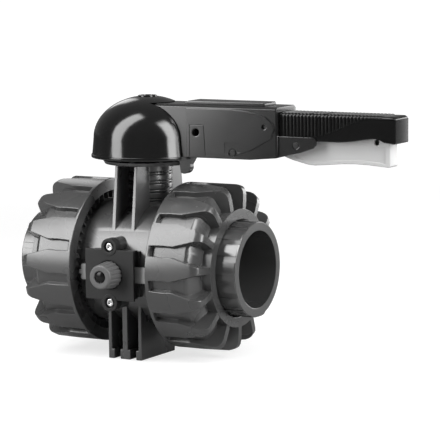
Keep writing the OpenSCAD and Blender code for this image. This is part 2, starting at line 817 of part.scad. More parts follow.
// Shallow square field and ring that the latch's pin sits in.
module pin_field() {
    field_d = 0.5;
    ring_r = 4.6;
    ring_d = 1.2;
    x = latch_pin_x;
    z = latch_pin_z;
    flank_cut(field_d, [[x - 9, z - 0.4], [x + 8, z + 0.6], [x + 8, z + 9.6], [x - 9, z + 9.6]]);
    flank_cut(ring_d, arc(x, z, ring_r, 0, 345, 23));
}

// Fine seam of the insert round the side hole.
module side_seam() {
    seam_w = 0.6;
    seam_d = 0.4;
    x0 = side_hole_x - 6.8;
    x1 = side_hole_x + 8.6;
    z1 = side_hole_z + 7.7;
    z0 = arm_bottom + 1.4;
    flank_cut(seam_d, [[x0, z0], [x0 + seam_w, z0], [x0 + seam_w, z1 - seam_w], [x1, z1 - seam_w],
        [x1 + 1.9, z0], [x1 + 1.9 + seam_w, z0], [x1 + seam_w, z1], [x0, z1]]);
}

module lever_arm() {
    roof = grip_top;
    color([0.13, 0.13, 0.14]) difference() {
        union() {
            difference() {
                union() {
                    arm_shell();
                    side_panels();
                }
                side_plate(channel_half, [[hub_r + 4, 0], [bracket_end + 2, 0],
                    [bracket_end + 2, roof], [hub_r + 4, roof]]);
                pin_field();
                side_seam();
                translate([0, 0, axis_h + arm_bottom - 1])
                    cylinder(h = 60, r = hub_r - 1);
            }
            translate([0, 0, axis_h + flange_top + free_gap])
                cylinder(h = hub_top - flange_top - free_gap, r = hub_r);
        }
        translate([-drive_w / 2 - run_fit, -drive_w / 2 - run_fit, axis_h + flange_top])
            cube([drive_w + 2 * run_fit, drive_w + 2 * run_fit, drive_top - flange_top]);
        translate([0, 0, axis_h + flange_top]) cylinder(h = 1.2, r = stem_r + slide_fit);
        translate([0, 0, axis_h + drive_top - 1]) cylinder(h = 12, r = screw_r + slide_fit, $fn = 32);
        translate([0, 0, axis_h + hub_floor]) cylinder(h = hub_top, r = screw_head_r + 3);
        cross_bar(side_hole_x, side_hole_z, side_hole_r, arm_half + 4);
        cross_bar(latch_pin_x, latch_pin_z, pin_r, arm_half + 4);
        cross_bar(trigger_pin_x, trigger_pin_z, pin_r, arm_half + 4);
        cross_bar(grip_screw_x, grip_screw_z, grip_screw_r, arm_half + 4);
    }
}

// Radius of the hood at a height over its shoulder: a quarter of an ellipse.
function hood_curve(r, h, n) = [for (i = [0:n - 1]) let(a = 90 * i / n) [r * cos(a), hood_shoulder + h * sin(a)]];

module hood_shape(inset) {
    top = hood_top - inset;
    translate([0, 0, axis_h]) rotate_extrude($fn = 120) polygon(concat([[0, hood_rim - (inset > 0 ? 1 : 0)],
        [hood_r - inset, hood_rim - (inset > 0 ? 1 : 0)]],
        hood_curve(hood_shoulder_r - inset, top - hood_shoulder, 18), [[0, top]]));
}

module lever_hood() {
    lip_h = 3;
    boss_r = screw_head_r + 7;
    color([0.05, 0.05, 0.055]) difference() {
        union() {
            difference() {
                union() {
                    hood_shape(0);
                    translate([0, 0, axis_h + hood_rim]) cylinder(h = lip_h, r = hood_r + 0.6, $fn = 120);
                }
                hood_shape(hood_wall);
            }
            intersection() {
                translate([0, 0, axis_h + hub_top]) cylinder(h = hood_top - hub_top, r = boss_r);
                hood_shape(0);
            }
        }
        translate([0, 0, axis_h + hub_top - 1]) cylinder(h = hood_top, r = plug_r - 2);
        translate([0, 0, axis_h + hood_top - 3.4]) cylinder(h = 10, r = plug_r + slide_fit);
        translate([0, -hood_slot_half, axis_h + hood_rim - 2])
            cube([hood_r + 10, 2 * hood_slot_half, arm_crown + 0.6 - hood_rim + 2]);
        translate([0, 0, axis_h + hood_rim - 1]) cylinder(h = hub_top - hood_rim + 1, r = hub_r + 0.6);
    }
}

module hood_plug() {
    plug_h = 3.8;
    ring_w = 1.9;
    color([0.12, 0.12, 0.13]) translate([0, 0, axis_h + hood_top - 3.4]) difference() {
        union() {
            cylinder(h = plug_h, r = plug_r);
            translate([0, 0, -4]) cylinder(h = 5, r = plug_r - 2 - slide_fit);
        }
        translate([0, 0, plug_h - 0.9]) cylinder(h = 2, r = plug_r - ring_w);
    }
}

module arm_top_plate() {
    plate_x0 = hood_r - 7.3;
    plate_x1 = arm_end - 16.7;
    plate_half = 12;
    plate_t = 3.2;
    ramp = 4;
    color([0.12, 0.12, 0.13]) side_plate(plate_half, [[plate_x0, arm_crown],
        [plate_x0 + ramp, arm_crown + plate_t], [plate_x1 - 1, arm_crown + plate_t],
        [plate_x1, arm_crown + plate_t - 1], [plate_x1, arm_crown]]);
}

// Side view of the grip: straight back, hollowed belly, a hook at the end.
function grip_outline() = concat([[grip_tail, grip_top]], arc(grip_end - 4, grip_top - 4, 4, 90, 0, 6),
    [[grip_end, grip_low + 1], [grip_end - 1.4, grip_low], [grip_end - 11.9, grip_low + 1.3],
    [grip_end - 17.5, grip_low + 3.6], [grip_end - 19.5, grip_low + 4.3], [grip_end - 23.5, grip_low + 4.5],
    [grip_end - 32.3, grip_low + 3.3], [grip_end - 45.5, grip_low + 1.1], [grip_end - 58, grip_low],
    [arm_end, grip_low], [grip_tail, grip_low]]);

module grip_section(half, top, corner) {
    translate([0, 0, axis_h]) rotate([90, 0, 90]) linear_extrude(grip_end + 10)
        polygon(concat([[-half, 100], [half, 100]], arc(half - corner, top - corner, corner, 0, 90, 6),
            arc(-half + corner, top - corner, corner, 90, 180, 6)));
}

// The ribbed field on the grip's flanks and back, bounded below by the S line.
module rib_field() {
    count = floor((rib_end - rib_start) / rib_pitch);
    intersection() {
        grip_section(grip_half + rib_h, grip_top + rib_h, 3.6);
        side_plate(grip_half + rib_h + 1, concat([[rib_start - 1, bracket_top + 0.4]],
            s_line(bracket_end - 8, bracket_top + 0.4, grip_end - 18.5, grip_top - 1.2, 14),
            [[rib_end, grip_top - 1.2],
            [rib_end, grip_top + rib_h + 1], [rib_start - 1, grip_top + rib_h + 1]]));
        union() for (i = [0:count - 1])
            translate([rib_start + rib_pitch * i, -grip_half - 2, axis_h + bracket_top - 2])
                cube([rib_pitch * 0.55, grip_w + 4, grip_top]);
    }
}

module lever_grip() {
    color([0.08, 0.08, 0.085]) difference() {
        union() {
            intersection() {
                side_plate(grip_half, grip_outline());
                grip_section(grip_half, grip_top, 3);
            }
            rib_field();
        }
        side_plate(grip_half - grip_wall, [[arm_end - 2, 0], [grip_end - 4, 0],
            [grip_end - 4, grip_top - grip_wall], [arm_end - 2, grip_top - grip_wall]]);
        cross_bar(grip_screw_x, grip_screw_z, grip_screw_r, grip_half + 2);
    }
}

module grip_screws() {
    color("silver") cross_bar(grip_screw_x, grip_screw_z, grip_screw_r - run_fit, arm_half - 0.5, 32);
}

// Side view of the trigger. Its upper edge stays inside the grip, also when it is pulled.
function trigger_outline() = let(x = trigger_pin_x, z = trigger_pin_z, e = trigger_end) concat(
    [[x - 22, z - 5.2], [x - 16.5, z - 12.4], [x - 8, z - 15.1], [x + 1.5, z - 17.4], [x + 8, z - 18.7],
    [x + 15, z - 19.2], [x + 28, z - 18.1], [x + 43.4, z - 16.7], [e - 37.5, z - 16.2], [e - 24.3, z - 16.5],
    [e - 11.5, z - 17.4], [e - 1.5, z - 18.3], [e, z - 16.7], [e - 0.6, z + 8.2], [e - 14.5, z + 10.3],
    [e - 25.5, z + 10.3]],
    arc(x, z, 8.5, 80, 170, 6), [[x - 22, z + 1]]);

// Lower line of the trigger's panel and of its hollow, a rim's width over its lower edge.
function trigger_rim(from) = let(x = trigger_pin_x, z = trigger_pin_z, e = trigger_end) [
    for (p = [[x - 7, z - 11.8], [x + 1.5, z - 13.8], [x + 8, z - 15.1], [x + 15, z - 15.6], [x + 28, z - 14.5],
        [x + 43.4, z - 13.1], [e - 37.5, z - 12.6], [e - 24.3, z - 12.9], [e - 11.5, z - 13.8],
        [e - 5, z - 14.3]]) if (p[0] >= from) p];

// The shallow panel in each flank of the trigger, inside its raised rim.
function trigger_panel() = let(x = trigger_pin_x, z = trigger_pin_z, e = trigger_end) concat(
    trigger_rim(x - 8), [[e - 5.4, z + 1.3], [e - 25.5, z + 1.3], [x + 28, z + 0.3], [x - 7, z + 0.3]]);

module trigger() {
    panel_d = 1;
    wall = 2.8;
    x = trigger_pin_x;
    z = trigger_pin_z;
    color("whitesmoke") difference() {
        side_plate(trigger_w / 2, trigger_outline());
        difference() {
            side_plate(trigger_w / 2 + 1, trigger_panel());
            side_plate(trigger_w / 2 - panel_d, trigger_panel());
        }
        side_plate(trigger_w / 2 - wall, concat(trigger_rim(x + 14), [[trigger_end - 5, z + 12], [x + 15, z + 12]]));
        cross_bar(trigger_pin_x, trigger_pin_z, pin_r + run_fit, trigger_w);
        cross_bar(padlock_x, padlock_z, padlock_r, trigger_w);
    }
}

module trigger_pin() {
    color("silver") cross_bar(trigger_pin_x, trigger_pin_z, pin_r - eps, bracket_half + 0.6);
}

module latch_pin() {
    color("silver") cross_bar(latch_pin_x, latch_pin_z, pin_r - eps, arm_half + panel_h + 0.2);
}

// The latch: a rocker on its pin, whose rounded nib stands beside the pad flange.
module latch_lever() {
    bar_low = arm_bottom + 1;
    bar_top = bar_low + 4.6;
    foot_low = flange_top - 2;
    foot_back = nib_x + 6.7;
    foot_top = [foot_back + 4.5, bar_low - 1.4];
    pin_boss_r = 6.2;
    head_half = channel_half - free_gap;
    clear_r = flange_r + 1.8 + free_gap;
    color("gray") difference() {
        union() {
            difference() {
                union() {
                    side_plate(head_half, [[latch_front, bar_low - 0.6], [foot_top[0], bar_low - 0.6],
                        [foot_top[0], bar_low + 3], [latch_front, bar_low + 3]]);
                    translate([0, -head_half + nib_w / 2, 0]) {
                        side_plate(nib_w / 2, [[latch_front, foot_low], [foot_back, foot_low], foot_top,
                            [foot_top[0], bar_low], [latch_front, bar_low]]);
                        side_plate(nib_w / 2, [[nib_x - nib_r + 0.4, nib_z + 1],
                            [nib_x + nib_r - 0.4, nib_z + 1], [nib_x + nib_r - 0.4, foot_low + 1],
                            [nib_x - nib_r + 0.4, foot_low + 1]]);
                        cross_bar(nib_x, nib_z, nib_r, nib_w / 2);
                    }
                }
                translate([0, 0, axis_h + flange_top - flange_t - 20])
                    cylinder(h = flange_t + 20.4, r1 = clear_r + 3.6, r2 = clear_r, $fn = 96);
            }
            side_plate(latch_w / 2, [[latch_front + 4, bar_low], [latch_pin_x + 15, bar_low + 0.4],
                [latch_back, latch_pin_z - 1.4], [latch_back, trigger_pin_z - 5.8],
                [latch_back - 10, trigger_pin_z - 6.2], [latch_pin_x + 11, bar_top + 0.6],
                [latch_front + 4, bar_top]]);
            cross_bar(latch_pin_x, latch_pin_z, pin_boss_r, latch_w / 2);
        }
        cross_bar(latch_pin_x, latch_pin_z, pin_r + run_fit, latch_w);
        translate([0, 0, axis_h]) cylinder(h = hub_top, r = hub_r + 2);
    }
}

// A compression spring between the latch and the arm's roof, swept as one closed tube.
module latch_spring() {
    sides = 8;
    per_turn = 16;
    z0 = arm_bottom + 5.6 + spring_wire + free_gap;
    z1 = grip_top - spring_wire - 0.1;
    count = spring_turns * per_turn;
    points = [for (i = [0:count], j = [0:sides - 1])
        let(a = 360 * i / per_turn, b = 360 * j / sides, r = spring_r + spring_wire * cos(b))
        [r * cos(a), r * sin(a), z0 + (z1 - z0) * i / count + spring_wire * sin(b)]];
    walls = [for (i = [0:count - 1], j = [0:sides - 1])
        let(k = (j + 1) % sides)
        [i * sides + j, (i + 1) * sides + j, (i + 1) * sides + k, i * sides + k]];
    ends = [[for (j = [0:sides - 1]) j], [for (j = [0:sides - 1]) count * sides + sides - 1 - j]];
    color("silver") translate([spring_x, 0, axis_h]) polyhedron(points, concat(walls, ends));
}

valve_body();
base_inserts();
ball();
ball_seat_left();
ball_seat_right();
seat_seal_left();
seat_seal_right();
seat_carrier();
carrier_seal();
face_seal_left();
face_seal_right();
end_connector_left();
end_connector_right();
union_nut_left();
union_nut_right();
lock_housing();
lock_screws();
lock_knob();
lock_knob_cap();
lock_pawl_left();
lock_pawl_right();
stem();
stem_seal_lower();
stem_seal_upper();
lever_arm();
hub_screw();
hub_washer();
lever_hood();
hood_plug();
arm_top_plate();
lever_grip();
grip_screws();
trigger();
trigger_pin();
latch_lever();
latch_pin();
latch_spring();
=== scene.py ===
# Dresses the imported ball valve: moulded grey and black plastics, steel, rubber and a plain white studio.
# Lengths are in metres in the frame's own axes: +X along the pipe towards the lever's end, +Z up, -Y towards
# the nut lock. Every size comes from the frame's boxes or is a named value here.
import bpy
import bmesh
import json
import math
from mathutils import Matrix, Vector


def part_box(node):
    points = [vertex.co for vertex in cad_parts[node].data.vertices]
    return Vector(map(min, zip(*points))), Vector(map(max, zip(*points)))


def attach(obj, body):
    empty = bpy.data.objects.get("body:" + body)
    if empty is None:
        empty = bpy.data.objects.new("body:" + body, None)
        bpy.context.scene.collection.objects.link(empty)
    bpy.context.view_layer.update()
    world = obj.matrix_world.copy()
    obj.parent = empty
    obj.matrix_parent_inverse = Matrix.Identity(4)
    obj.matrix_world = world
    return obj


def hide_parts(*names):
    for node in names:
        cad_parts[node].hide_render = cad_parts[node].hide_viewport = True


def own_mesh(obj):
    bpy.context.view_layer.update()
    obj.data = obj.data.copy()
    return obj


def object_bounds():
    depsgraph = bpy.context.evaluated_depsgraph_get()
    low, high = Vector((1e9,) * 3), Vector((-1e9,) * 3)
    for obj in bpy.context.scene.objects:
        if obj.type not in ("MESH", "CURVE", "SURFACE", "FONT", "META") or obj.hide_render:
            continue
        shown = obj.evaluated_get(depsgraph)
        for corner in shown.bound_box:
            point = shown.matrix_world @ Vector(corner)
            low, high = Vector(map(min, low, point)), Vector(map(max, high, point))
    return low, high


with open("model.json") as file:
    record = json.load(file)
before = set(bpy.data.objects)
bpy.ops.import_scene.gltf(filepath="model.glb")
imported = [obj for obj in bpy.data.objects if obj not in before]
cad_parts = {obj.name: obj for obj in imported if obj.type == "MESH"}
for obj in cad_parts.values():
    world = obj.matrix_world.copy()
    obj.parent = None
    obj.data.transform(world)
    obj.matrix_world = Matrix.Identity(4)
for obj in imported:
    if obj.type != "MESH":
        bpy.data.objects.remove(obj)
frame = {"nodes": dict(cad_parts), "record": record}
CAD_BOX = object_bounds()
NODES = frame["nodes"]
BODIES = {node: body for body, nodes in frame["record"]["behaviour"]["bodies"].items() for node in nodes}
MM = 0.001

# Photograph: its size, and where the point on the pipe axis below the stem lies in it
PHOTO_PX = 440
AXIS_PX = (149.65, 261.64)
FOCAL_PX = 2460.0
CAMERA_DISTANCE = 2.430
CAMERA_AZIMUTH = math.radians(30.87)
CAMERA_ELEVATION = math.radians(8.26)
CAMERA_ROLL = math.radians(-0.74)
AXIS_POINT = Vector((0, 0, (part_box("end_connector_right")[0].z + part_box("end_connector_right")[1].z) / 2))


def direction(azimuth, elevation):
    """Unit vector from the object towards a place at this azimuth and elevation, in degrees."""
    a, e = math.radians(azimuth), math.radians(elevation)
    return Vector((math.sin(a) * math.cos(e), -math.cos(a) * math.cos(e), math.sin(e)))


def make_camera():
    back = direction(math.degrees(CAMERA_AZIMUTH), math.degrees(CAMERA_ELEVATION))
    level = Vector((math.cos(CAMERA_AZIMUTH), math.sin(CAMERA_AZIMUTH), 0))
    upright = back.cross(level)
    right = level * math.cos(CAMERA_ROLL) + upright * math.sin(CAMERA_ROLL)
    up = upright * math.cos(CAMERA_ROLL) - level * math.sin(CAMERA_ROLL)
    data = bpy.data.cameras.new("camera")
    data.sensor_width = 36.0
    data.lens = FOCAL_PX / PHOTO_PX * data.sensor_width
    data.shift_x = (PHOTO_PX / 2 - AXIS_PX[0]) / PHOTO_PX
    data.shift_y = (AXIS_PX[1] - PHOTO_PX / 2) / PHOTO_PX
    data.clip_start = 0.1
    data.clip_end = 100.0
    camera = bpy.data.objects.new("camera", data)
    bpy.context.scene.collection.objects.link(camera)
    turn = Matrix((right, up, back)).transposed().to_4x4()
    camera.matrix_world = Matrix.Translation(AXIS_POINT + back * CAMERA_DISTANCE) @ turn
    bpy.context.scene.camera = camera


# Shader helpers. A noise's scale is in waves per metre, and a bump's depth in metres.
NOISE_MIDDLE = (0.3, 0.7)
MOTTLE_SCALE = 22
MOTTLE_DETAIL = 3.0
GRAIN_SCALE = 1400
GRAIN_DEPTH = 0.05 * MM
FLOW_SCALE = 9
FLOW_DEPTH = 2 * MM
SCRATCH_SCALE = 700
SCRATCH_STRETCH = (1, 12, 1)
SCRATCH_DEPTH = 0.03 * MM
SCRATCH_STRENGTH = 0.15
PAPER_SCALE = 3


def new_material(name):
    material = bpy.data.materials.new(name)
    material.use_nodes = True
    nodes = material.node_tree.nodes
    return material, nodes, material.node_tree.links, nodes["Principled BSDF"]


def add_node(nodes, kind, **values):
    node = nodes.new(kind)
    for key, value in values.items():
        if key in node.inputs:
            node.inputs[key].default_value = value
        else:
            setattr(node, key, value)
    return node


def noise(nodes, links, coords, scale, detail=2.0, stretch=(1, 1, 1)):
    mapping = add_node(nodes, "ShaderNodeMapping")
    mapping.inputs["Scale"].default_value = stretch
    texture = add_node(nodes, "ShaderNodeTexNoise", Scale=scale, Detail=detail)
    links.new(coords.outputs["Object"], mapping.inputs["Vector"])
    links.new(mapping.outputs["Vector"], texture.inputs["Vector"])
    return texture


def set_range(node, source, target):
    node.inputs["From Min"].default_value, node.inputs["From Max"].default_value = source
    node.inputs["To Min"].default_value, node.inputs["To Max"].default_value = target


def spread(nodes, links, source, low, high):
    """Maps a noise's middle range to values between low and high."""
    node = add_node(nodes, "ShaderNodeMapRange")
    set_range(node, NOISE_MIDDLE, (low, high))
    links.new(source, node.inputs["Value"])
    return node


def moulded(name, grey, roughness, grain=0.15, mottle=0.08, flow=0.0, specular=0.5):
    """Moulded plastic: a faint mottle in its colour and gloss, a fine skin, and long soft waves of flow."""
    material, nodes, links, shader = new_material(name)
    coords = add_node(nodes, "ShaderNodeTexCoord")
    cloud = noise(nodes, links, coords, MOTTLE_SCALE, MOTTLE_DETAIL)
    fine = noise(nodes, links, coords, GRAIN_SCALE)
    colour = add_node(nodes, "ShaderNodeMix", data_type="RGBA")
    colour.inputs["A"].default_value = (*[grey * (1 - mottle)] * 3, 1)
    colour.inputs["B"].default_value = (*[grey * (1 + mottle)] * 3, 1)
    links.new(cloud.outputs["Fac"], colour.inputs["Factor"])
    links.new(colour.outputs["Result"], shader.inputs["Base Color"])
    gloss = spread(nodes, links, cloud.outputs["Fac"], roughness * 0.88, roughness * 1.12)
    links.new(gloss.outputs["Result"], shader.inputs["Roughness"])
    shader.inputs["Specular IOR Level"].default_value = specular
    skin = add_node(nodes, "ShaderNodeBump", Strength=grain, Distance=GRAIN_DEPTH)
    links.new(fine.outputs["Fac"], skin.inputs["Height"])
    last = skin
    if flow:
        wave = noise(nodes, links, coords, FLOW_SCALE, 1.0)
        last = add_node(nodes, "ShaderNodeBump", Strength=flow, Distance=FLOW_DEPTH)
        links.new(wave.outputs["Fac"], last.inputs["Height"])
        links.new(skin.outputs["Normal"], last.inputs["Normal"])
    links.new(last.outputs["Normal"], shader.inputs["Normal"])
    return material


def steel(name, grey, roughness):
    """Turned metal with fine scratches."""
    material, nodes, links, shader = new_material(name)
    coords = add_node(nodes, "ShaderNodeTexCoord")
    lines = noise(nodes, links, coords, SCRATCH_SCALE, stretch=SCRATCH_STRETCH)
    tint = add_node(nodes, "ShaderNodeMix", data_type="RGBA")
    tint.inputs["A"].default_value = (*[grey * 0.9] * 3, 1)
    tint.inputs["B"].default_value = (*[grey] * 3, 1)
    links.new(lines.outputs["Fac"], tint.inputs["Factor"])
    links.new(tint.outputs["Result"], shader.inputs["Base Color"])
    gloss = spread(nodes, links, lines.outputs["Fac"], roughness * 0.8, roughness * 1.3)
    links.new(gloss.outputs["Result"], shader.inputs["Roughness"])
    shader.inputs["Metallic"].default_value = 1.0
    marks = add_node(nodes, "ShaderNodeBump", Strength=SCRATCH_STRENGTH, Distance=SCRATCH_DEPTH)
    links.new(lines.outputs["Fac"], marks.inputs["Height"])
    links.new(marks.outputs["Normal"], shader.inputs["Normal"])
    return material


def make_materials():
    return {
        "pvc_body": moulded("pvc_body", 0.046, 0.28, flow=0.05, specular=0.7),
        "pvc_nut": moulded("pvc_nut", 0.040, 0.27, flow=0.05, specular=0.7),
        "pvc_socket": moulded("pvc_socket", 0.040, 0.20, flow=0.05, specular=0.75),
        "dark_plastic": moulded("dark_plastic", 0.018, 0.42, specular=0.25),
        "black_plastic": moulded("black_plastic", 0.009, 0.20, specular=0.6),
        "gloss_black": moulded("gloss_black", 0.006, 0.13, grain=0.02, mottle=0.2),
        "grip_plastic": moulded("grip_plastic", 0.006, 0.14, specular=0.2),
        "white_plastic": moulded("white_plastic", 0.42, 0.38, mottle=0.02),
        "light_plastic": moulded("light_plastic", 0.085, 0.45),
        # the pawls' plastic is the knob's light grey made about three times paler: painted light on pawl
        # faces that fall in shade
        "pawl_plastic_painted_light": moulded("pawl_plastic_painted_light", 0.24, 0.45),
        "stainless": steel("stainless", 0.62, 0.22),
        "dark_steel": steel("dark_steel", 0.05, 0.35),
        "brass_insert": steel("brass_insert", 0.45, 0.3),
        "ptfe": moulded("ptfe", 0.7, 0.5, mottle=0.03),
        "seal_rubber": moulded("seal_rubber", 0.015, 0.55, grain=0.4),
    }


MATERIALS = make_materials()
SLOT_OF = {s["node"]: s["material_slot"] for s in frame["record"]["subparts"]}


# Rigid pieces
SHARP = math.radians(34)  # an edge that turns more than this is rounded
CREASE = math.radians(42)  # an edge that still turns more than this is shaded as sharp
FLAT_TURN = math.radians(0.6)  # faces that turn less than this are one flat face
STRAIGHT_ON = math.radians(40)  # a run of edges goes on where it turns less than this
ALONG_A_LINE = math.radians(145)  # two edges that meet at more than this leave each other room
NEAR_PARALLEL = 0.8  # an edge across the face counts where it runs along the rounded one at least this much
PAST_END = 0.2 * MM  # and where it is beside it, or this far past its end
SHARE_OF_FACE = 0.45  # how much of a face a rounding may take from each side
DEFAULT_ROUNDING = 0.7  # mm
ROUNDING = {  # mm
    "union_nut_left": 1.1, "union_nut_right": 1.1, "lever_grip": 1.5, "trigger": 1.2, "lever_arm": 1.0,
    "valve_body": 0.8, "lock_knob": 0.8, "latch_lever": 1.0,
}
WELD = 0.02 * MM
SLIVER = 0.001 * MM


def link_object(name, mesh):
    piece = bpy.data.objects.new(name, mesh)
    bpy.context.scene.collection.objects.link(piece)
    return piece


def set_material(piece, key):
    piece.data.materials.clear()
    piece.data.materials.append(MATERIALS[key])


def squareness(edge, inner):
    """How squarely an edge inside a flat face meets that face's border, from 0 to 1."""
    along = (edge.verts[1].co - edge.verts[0].co).normalized()
    worst = 1.0
    for vert in edge.verts:
        for other in vert.link_edges:
            if other not in inner:
                run = (other.other_vert(vert).co - vert.co).normalized()
                worst = min(worst, 1 - abs(run.dot(along)))
    return worst


def join_flat_faces(bm):
    """Joins the triangles of each flat face; a face with holes in it stays cut by a few square edges."""
    flat = math.cos(FLAT_TURN)
    seen = set()
    whole, holed = [], []
    for start in bm.faces:
        if start in seen:
            continue
        seen.add(start)
        patch, queue, inner = {start}, [start], set()
        while queue:
            for edge in queue.pop().edges:
                level = [f for f in edge.link_faces if f.normal.dot(start.normal) > flat]
                if len(edge.link_faces) != 2 or len(level) != 2:
                    continue
                inner.add(edge)
                fresh = [f for f in level if f not in seen]
                seen.update(fresh)
                patch.update(fresh)
                queue.extend(fresh)
        corners = {v for f in patch for v in f.verts}
        edges = {e for f in patch for e in f.edges}
        inner = {e for e in inner if all(f in patch for f in e.link_faces)}
        if len(corners) - len(edges) + len(patch) == 1:
            whole += sorted(inner, key=lambda e: e.index)
        else:
            holed += sorted(inner, key=lambda e: (round(squareness(e, inner), 4), e.index))
    for edge in holed:
        first, second = edge.link_faces
        if len(set(first.verts) & set(second.verts)) == 2:
            bmesh.utils.face_join([first, second], True)
    whole = [e for e in whole if e.is_valid]
    bmesh.ops.dissolve_limit(bm, angle_limit=FLAT_TURN, verts=[], edges=whole)


def room_beside(edge, sharp):
    """How far a rounding can reach from an edge before it meets the other edges of its two faces."""
    start, stop = edge.verts[0].co, edge.verts[1].co
    middle = (start + stop) / 2
    along = (stop - start).normalized()
    room = 1.0
    for loop in edge.link_loops:
        for side, end in ((loop.link_loop_prev, loop.vert), (loop.link_loop_next, loop.link_loop_next.vert)):
            run = side.edge.other_vert(end).co - end.co
            back = edge.other_vert(end).co - end.co
            corner = run.angle(back, 0)
            if side.edge not in sharp:
                room = min(room, run.length * SHARE_OF_FACE * math.sin(corner))
            elif corner < ALONG_A_LINE:
                shorter = min(run.length, back.length)
                room = min(room, shorter * SHARE_OF_FACE * math.tan(corner / 2))
        for other in {l.edge for l in loop.face.loops} & sharp - {edge}:
            run = other.verts[1].co - other.verts[0].co
            if abs(run.dot(along)) < NEAR_PARALLEL * run.length:
                continue
            reach = max(0.0, min(1.0, (middle - other.verts[0].co).dot(run) / run.length_squared))
            gap = other.verts[0].co + run * reach - middle
            step = gap.dot(along)
            across = (gap - along * step).length
            if abs(step) < (stop - start).length / 2 + PAST_END and across > SLIVER:
                room = min(room, across * SHARE_OF_FACE)
    return room


def runs_of(sharp):
    """Sharp edges in runs that go on without a corner, so that each run gets one width."""
    seen = set()
    for first in sorted(sharp, key=lambda e: e.index):
        if first in seen:
            continue
        seen.add(first)
        run, queue = [first], [first]
        while queue:
            edge = queue.pop()
            for vert in edge.verts:
                ahead = vert.co - edge.other_vert(vert).co
                for other in vert.link_edges:
                    onward = other.other_vert(vert).co - vert.co
                    if other in sharp and other not in seen and ahead.angle(onward, math.pi) < STRAIGHT_ON:
                        seen.add(other)
                        run.append(other)
                        queue.append(other)
        yield run


def width_of_run(run, room, skip=0.05):
    """The width that all but a short part of a run has room for."""
    left = skip * sum(e.calc_length() for e in run)
    for edge in sorted(run, key=lambda e: room[e]):
        left -= edge.calc_length()
        if left <= 0:
            break
    return room[edge]


def rounded_copy(node, radius, segments=2):
    """The CAD node's mesh with joined corners, each sharp edge rounded as far as its faces leave room."""
    bm = bmesh.new()
    bm.from_mesh(NODES[node].data)
    weights = bm.edges.layers.float.new("bevel_weight_edge")
    bmesh.ops.remove_doubles(bm, verts=bm.verts, dist=WELD)
    bmesh.ops.dissolve_degenerate(bm, dist=SLIVER, edges=bm.edges)
    bm.edges.index_update()
    join_flat_faces(bm)
    bm.edges.index_update()
    sharp = {e for e in bm.edges if len(e.link_faces) == 2 and e.calc_face_angle(0) > SHARP}
    room = {e: min(radius, room_beside(e, sharp)) for e in sharp}
    for run in runs_of(sharp):
        width = width_of_run(run, room)
        for edge in run:
            edge[weights] = width / radius
    mesh = bpy.data.meshes.new(node + "_edges")
    bm.to_mesh(mesh)
    bm.free()
    block = bpy.data.objects.new(node + "_edges", mesh)
    bpy.context.scene.collection.objects.link(block)
    bevel = block.modifiers.new("round", "BEVEL")
    bevel.limit_method = "WEIGHT"
    bevel.offset_type = "OFFSET"
    bevel.width = radius
    bevel.segments = segments
    bevel.use_clamp_overlap = False
    form = bpy.data.meshes.new_from_object(block.evaluated_get(bpy.context.evaluated_depsgraph_get()))
    form.name = node + "_form"
    bpy.data.objects.remove(block)
    bpy.data.meshes.remove(mesh)
    bm = bmesh.new()
    bm.from_mesh(form)
    bm.edges.layers.float.remove(bm.edges.layers.float["bevel_weight_edge"])
    for edge in bm.edges:
        edge.smooth = len(edge.link_faces) == 2 and edge.calc_face_angle(0) < CREASE
    for face in bm.faces:
        face.smooth = True
    bm.to_mesh(form)
    bm.free()
    return form


def weigh_normals(piece):
    """Lets the large flat faces set the shading, so only the rounded edges catch light."""
    weigh = piece.modifiers.new("weigh", "WEIGHTED_NORMAL")
    weigh.mode = "FACE_AREA"
    weigh.weight = 50
    weigh.keep_sharp = True


def dress(node, material):
    piece = link_object(node + "_shell", rounded_copy(node, ROUNDING.get(node, DEFAULT_ROUNDING) * MM))
    weigh_normals(piece)
    set_material(piece, material)
    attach(piece, BODIES[node])
    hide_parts(node)


SHELLS = {
    "valve_body": "pvc_body", "union_nut_left": "pvc_nut", "union_nut_right": "pvc_nut",
    "end_connector_left": "pvc_socket", "end_connector_right": "pvc_socket",
    "lock_housing": "dark_plastic", "lock_screws": "stainless", "lock_knob": "light_plastic",
    # the pawls get the paler copy of the knob's grey, which paints light on their shaded faces
    "lock_knob_cap": "grip_plastic", "lock_pawl_left": "pawl_plastic_painted_light", "lock_pawl_right": "pawl_plastic_painted_light",
    "lever_arm": "black_plastic", "lever_hood": "gloss_black", "hood_plug": "gloss_black",
    "arm_top_plate": "black_plastic", "lever_grip": "grip_plastic", "trigger": "white_plastic",
    "trigger_pin": "dark_plastic", "latch_pin": "dark_plastic", "latch_lever": "black_plastic",
    "grip_screws": "dark_steel",
}


def dress_spring():
    """The latch's spring, which on the valve shortens from below as the latch tips up; here a plain copy of
    its mesh on its own body.
    """
    piece = link_object("latch_spring_coil", NODES["latch_spring"].data.copy())
    set_material(piece, "stainless")
    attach(piece, BODIES["latch_spring"])
    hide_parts("latch_spring")
    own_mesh(piece)


def dress_all():
    for node, material in SHELLS.items():
        dress(node, material)
    dress_spring()
    for node, piece in NODES.items():
        if node not in SHELLS and node != "latch_spring":
            set_material(piece, SLOT_OF[node])


# Studio

FLOOR_HALF = 30.0
FLOOR_DROP = 0.2 * MM
FLOOR_WHITE = (0.83, 0.86)  # the paper's darkest and lightest white, for the camera
FLOOR_GREY = 0.36  # how pale the floor is to the object
FLOOR_GLOW_SHARE = 0.55
FLOOR_GLOW = (1.25, 1.85)  # strength near the object and far from it
FLOOR_GLOW_REACH = (0.5, 2.2)  # where the glow begins and ends to rise
ROOM_Y = (-0.5, 0.7)
ROOM_LIGHT = (0.10, 0.22)  # the room's light in front of the object and behind it


